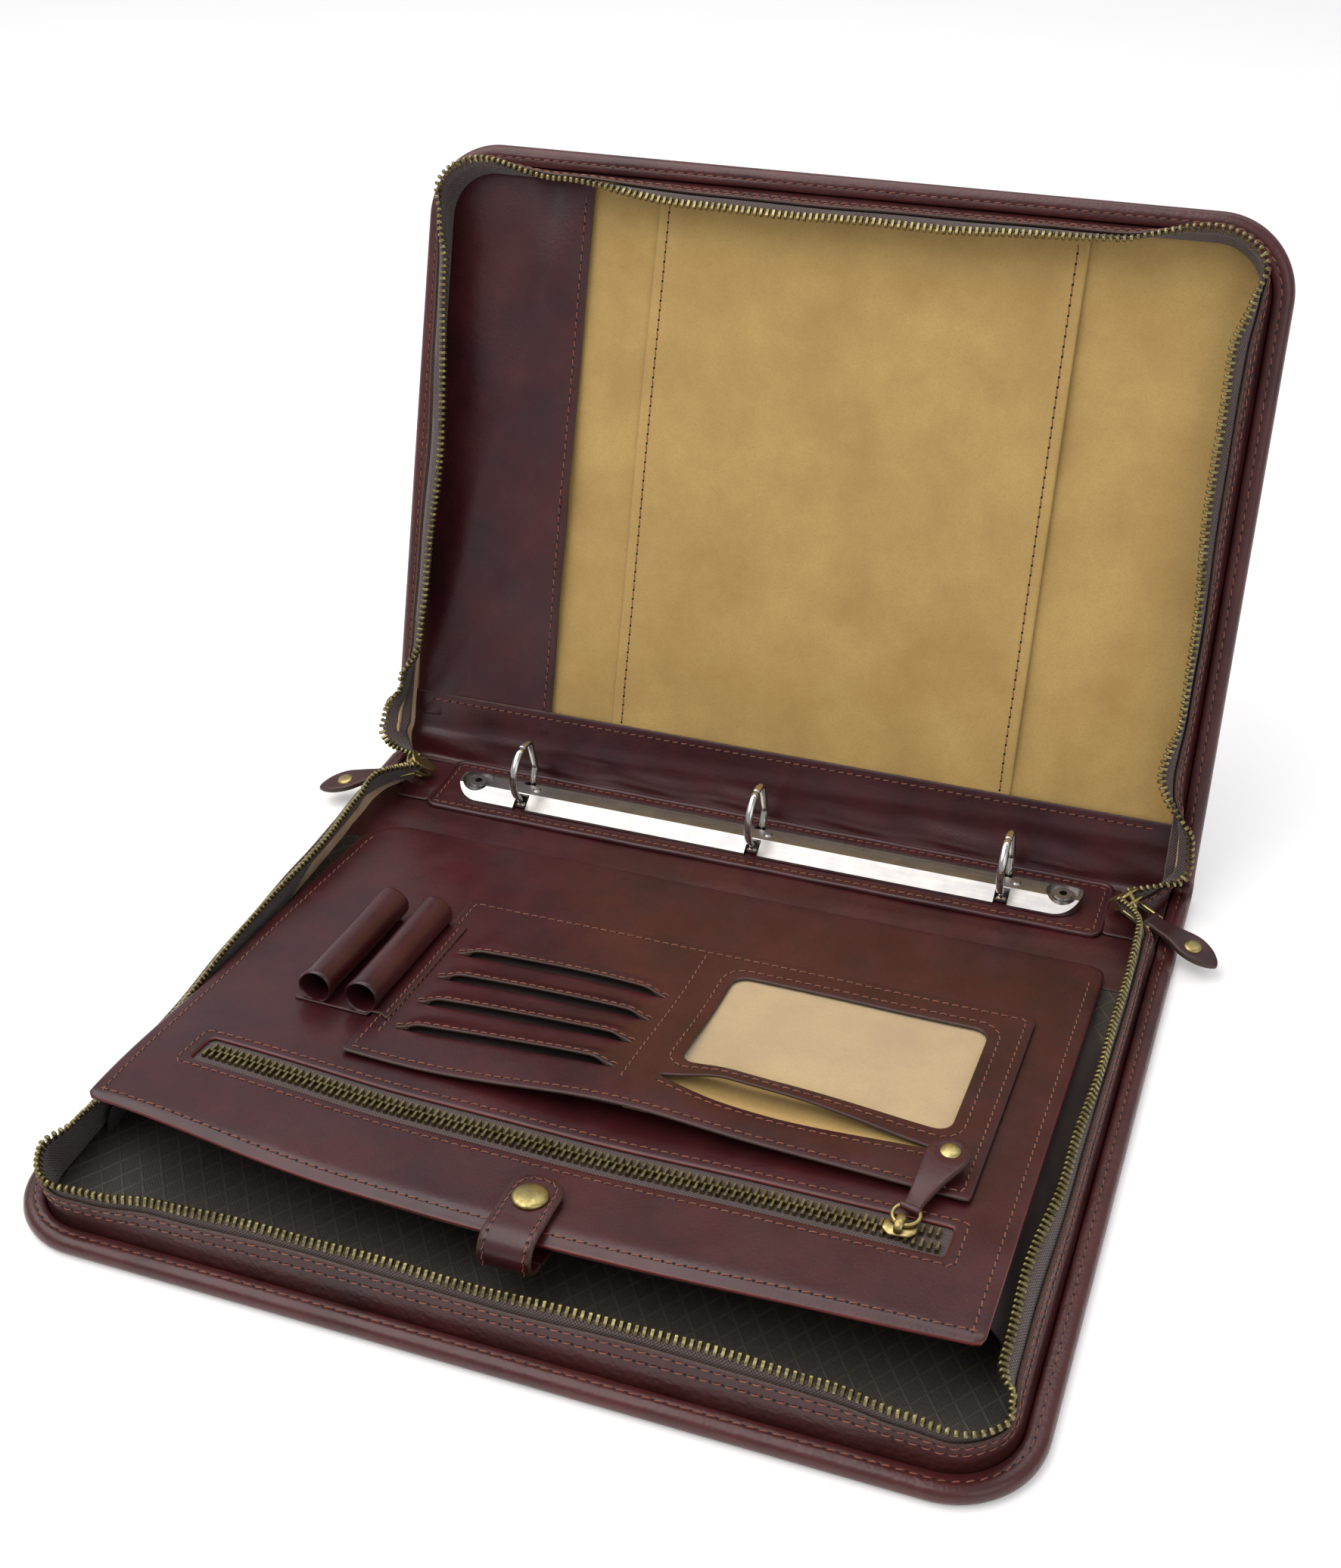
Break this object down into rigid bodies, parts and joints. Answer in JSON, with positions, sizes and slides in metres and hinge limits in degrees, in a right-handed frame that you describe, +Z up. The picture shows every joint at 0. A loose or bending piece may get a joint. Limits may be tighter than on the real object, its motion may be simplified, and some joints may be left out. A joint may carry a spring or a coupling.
{
  "type": "portfolio case",
  "caption": "Zip-round leather portfolio standing open, with ring mechanism, organiser with zip pocket, card slots, ID window, pen loops and a snap strap.",
  "frame": {"origin": "centre of the base leaf's underside, on the surface it stands on", "axes": "+X along the hinge to the user's right, +Y from the front edge towards the spine, +Z up"},
  "size_m": [0.3992, 0.4146, 0.2608],
  "materials": {
    "hide": "semi-gloss oxblood hide",
    "panel_leather": "smooth oxblood leather, satin",
    "suede_lining": "tan flesh-side leather, matt",
    "board": "grey-brown stiffener board",
    "padding": "felt padding",
    "jacquard": "dark brown patterned lining cloth",
    "gusset_cloth": "dark brown smooth cloth",
    "zip_tape": "dark brown twill tape",
    "zip_brass": "antique brass",
    "antique_brass": "antique brass, satin",
    "nickel": "bright nickel plate",
    "spring_steel": "blued spring steel",
    "clear_film": "clear flexible film"
  },
  "bodies": {
    "base": {"base_board": "board", "base_cover": "hide", "base_edge_padding": "padding", "base_lining": "jacquard", "base_zip_tape": "zip_tape", "base_zip_teeth": "zip_brass", "base_zip_wall": "hide", "strap_tail": "panel_leather", "right_gusset": "gusset_cloth", "left_gusset": "gusset_cloth"},
    "spine": {"spine_cover": "hide", "spine_board": "board", "spine_lining": "jacquard", "ring_pad": "panel_leather", "ring_housing": "nickel", "housing_rivets": "nickel", "housing_studs": "nickel", "right_main_slider": "antique_brass", "left_main_slider": "antique_brass"},
    "lid": {"lid_board": "board", "lid_centre_band": "suede_lining", "lid_cover": "hide", "lid_edge_padding": "padding", "lid_hinge_strip": "panel_leather", "lid_lining": "suede_lining", "lid_side_pocket": "panel_leather", "lid_zip_tape": "zip_tape", "lid_zip_teeth": "zip_brass", "lid_zip_wall": "hide"},
    "front_rings": {"front_blade": "spring_steel", "front_half_rings": "nickel"},
    "rear_rings": {"rear_blade": "spring_steel", "rear_half_rings": "nickel"},
    "right_pull": {"right_pull_link": "antique_brass", "right_pull_tab": "panel_leather", "right_pull_rivet": "antique_brass"},
    "left_pull": {"left_pull_link": "antique_brass", "left_pull_tab": "panel_leather", "left_pull_rivet": "antique_brass"},
    "organiser": {"organiser_panel": "panel_leather", "organiser_backing": "panel_leather", "pocket_zip_tape": "zip_tape", "pocket_zip_teeth": "zip_brass", "card_panel": "panel_leather", "card_lining": "suede_lining", "window_film": "clear_film", "pen_strip": "panel_leather", "left_pen_loop": "panel_leather", "right_pen_loop": "panel_leather", "snap_stud": "antique_brass"},
    "pocket_slider": {"pocket_slider": "antique_brass"},
    "pocket_pull": {"pocket_pull_ring": "antique_brass", "pocket_pull_tab": "panel_leather", "pocket_pull_rivet": "antique_brass"},
    "snap_strap": {"snap_strap": "panel_leather", "snap_cap": "antique_brass"}
  },
  "joints": [
    {"name": "spine_fold", "type": "hinge", "parent": "base", "child": "spine", "pos_m": [0, 0.1375, 0.0015], "axis": [1, 0, 0], "range_deg": [0, 90]},
    {"name": "lid_fold", "type": "hinge", "parent": "spine", "child": "lid", "pos_m": [0, 0.1825, 0.0015], "axis": [1, 0, 0], "range_deg": [-70, 20]},
    {"name": "front_rings_turn", "type": "hinge", "parent": "spine", "child": "front_rings", "pos_m": [0, 0.1512, 0.00725], "axis": [-1, 0, 0], "range_deg": [-15, 0]},
    {"name": "rear_rings_turn", "type": "hinge", "parent": "spine", "child": "rear_rings", "pos_m": [0, 0.1688, 0.00725], "axis": [-1, 0, 0], "range_deg": [0, 15]},
    {"name": "right_pull_swing", "type": "hinge", "parent": "spine", "child": "right_pull", "pos_m": [0.1615, 0.15714, 0.01283], "axis": [0.4695, 0.8829, 0], "range_deg": [-45, 0]},
    {"name": "left_pull_swing", "type": "hinge", "parent": "spine", "child": "left_pull", "pos_m": [-0.1615, 0.15714, 0.01283], "axis": [0.4695, -0.8829, 0], "range_deg": [-45, 0]},
    {"name": "organiser_press", "type": "hinge", "parent": "base", "child": "organiser", "pos_m": [0, 0.122, 0.0042], "axis": [-1, 0, 0], "range_deg": [-4.5, 0], "deforming": ["right_gusset", "left_gusset", "strap_tail"]},
    {"name": "pocket_slider_travel", "type": "slide", "parent": "organiser", "child": "pocket_slider", "axis": [1, 0, 0], "range_m": [-0.25, 0]},
    {"name": "pocket_pull_swing", "type": "hinge", "parent": "pocket_slider", "child": "pocket_pull", "pos_m": [0.121, -0.05642, 0.02868], "axis": [-1, 0, 0], "range_deg": [-150, 0]},
    {"name": "snap_strap_lift", "type": "hinge", "parent": "organiser", "child": "snap_strap", "pos_m": [0.003, -0.10239, 0.02894], "axis": [-1, 0, 0], "range_deg": [-120, 0]}
  ],
  "couplings": [
    {"joint": "rear_rings_turn", "follows": "front_rings_turn", "ratio": -1}
  ]
}
